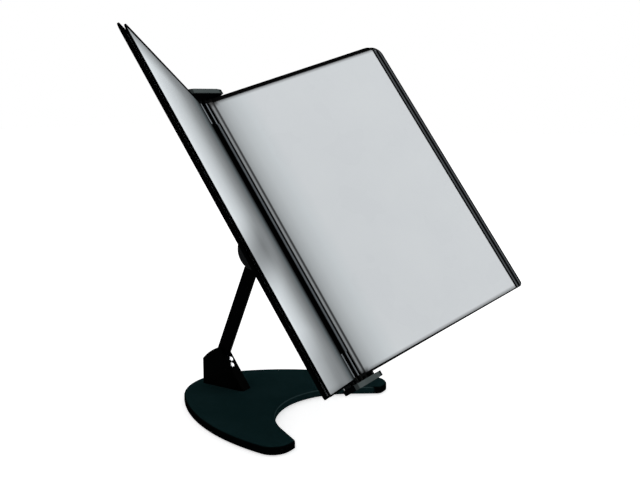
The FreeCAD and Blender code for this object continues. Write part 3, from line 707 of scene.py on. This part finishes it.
for entry in frame["record"]["subparts"]:
    node = entry["node"]
    solid = frame["nodes"][node]
    if node in films:
        finish = films[node]
    elif node.endswith("_edge_hem"):
        finish = hem_tapes[node.removesuffix("_edge_hem")]
    elif node.endswith("_spine_sleeve"):
        finish = sleeve_tapes[node.removesuffix("_spine_sleeve")]
    elif node == "tilt_bracket":
        finish = bracket_coat
    else:
        finish = finishes[entry["material_slot"]]
    solid.data.materials.clear()
    solid.data.materials.append(finish)

# %% [markdown]
# A product photograph has no visible horizon. We lay one wide pale floor and make it glow only for
# the rays that look at it: the camera's, and those that come by a reflection or through something
# clear. The Light Path node tells them apart. To every other ray the floor stays a plain matt
# surface, so it still takes the object's shadow and sends soft light up from below.

# %% Floor
floor_half = 6.0
floor_drop = 0.0002
floor_white = (0.9, 0.9, 0.9, 1)
floor_roughness = 0.9
floor_glow = 0.6


def looking_ray(nodes, links):
    """One for the rays that look at something, zero for those that only light it."""
    path = nodes.new("ShaderNodeLightPath")
    seen = math_of(nodes, links, "MAXIMUM", path.outputs["Is Camera Ray"],
                   path.outputs["Is Glossy Ray"])
    return math_of(nodes, links, "MAXIMUM", seen, path.outputs["Is Transmission Ray"])


def studio_white():
    material = bpy.data.materials.new("studio_white")
    material.use_nodes = True
    nodes = material.node_tree.nodes
    links = material.node_tree.links
    shader = nodes["Principled BSDF"]
    shader.inputs["Base Color"].default_value = floor_white
    shader.inputs["Roughness"].default_value = floor_roughness
    shader.inputs["Specular IOR Level"].default_value = 0.0
    glow = nodes.new("ShaderNodeEmission")
    glow.inputs["Strength"].default_value = floor_glow
    glowing = nodes.new("ShaderNodeAddShader")
    links.new(shader.outputs[0], glowing.inputs[0])
    links.new(glow.outputs[0], glowing.inputs[1])
    choice = nodes.new("ShaderNodeMixShader")
    links.new(looking_ray(nodes, links), choice.inputs["Fac"])
    links.new(shader.outputs[0], choice.inputs[1])
    links.new(glowing.outputs[0], choice.inputs[2])
    links.new(choice.outputs[0], nodes["Material Output"].inputs["Surface"])
    return material


def make_floor():
    shape = bmesh.new()
    bmesh.ops.create_grid(shape, x_segments=1, y_segments=1, size=floor_half)
    bmesh.ops.translate(shape, verts=shape.verts, vec=(0, 0, -floor_drop))
    mesh = bpy.data.meshes.new("studio_floor")
    shape.to_mesh(mesh)
    shape.free()
    floor = bpy.data.objects.new("studio_floor", mesh)
    bpy.context.scene.collection.objects.link(floor)
    mesh.materials.append(studio_white())
    return floor


floor = make_floor()
print("floor:", floor.name)

# %% [markdown]
# The light is a large soft box overhead, a weaker one on the reader's right, and an even grey
# world. The world is white only where the camera, a reflection or something clear looks at it.
# That keeps the background white while the lamps stay low enough for the pale pockets not to clip.

# %% Light
world_light = 0.62
world_seen = 1.0
light_aim = Vector((0, 0, 0.15))


def background(nodes, strength):
    """White light of one strength from every side."""
    light = nodes.new("ShaderNodeBackground")
    light.inputs["Color"].default_value = (1, 1, 1, 1)
    light.inputs["Strength"].default_value = strength
    return light.outputs[0]


def make_world():
    world = bpy.data.worlds.new("studio_world")
    bpy.context.scene.world = world
    world.use_nodes = True
    nodes = world.node_tree.nodes
    links = world.node_tree.links
    nodes.clear()
    choice = nodes.new("ShaderNodeMixShader")
    output = nodes.new("ShaderNodeOutputWorld")
    links.new(looking_ray(nodes, links), choice.inputs["Fac"])
    links.new(background(nodes, world_light), choice.inputs[1])
    links.new(background(nodes, world_seen), choice.inputs[2])
    links.new(choice.outputs[0], output.inputs["Surface"])


def soft_box(name, place, size, power):
    """A square lamp that looks at the middle of the stand."""
    data = bpy.data.lights.new(name, "AREA")
    data.shape = "SQUARE"
    data.size = size
    data.energy = power
    lamp = bpy.data.objects.new(name, data)
    put_and_aim(lamp, place, light_aim - place)


make_world()
soft_box("overhead_box", Vector((-0.5, -1.2, 2.0)), size=1.6, power=14.0)
soft_box("right_box", Vector((1.6, -1.3, 1.0)), size=1.0, power=4.0)

# %% [markdown]
# Last, the colour management. The Standard view shows a colour about as it was written, which is
# what a catalogue picture wants.

# %% Finish
bpy.context.scene.view_settings.view_transform = "Standard"
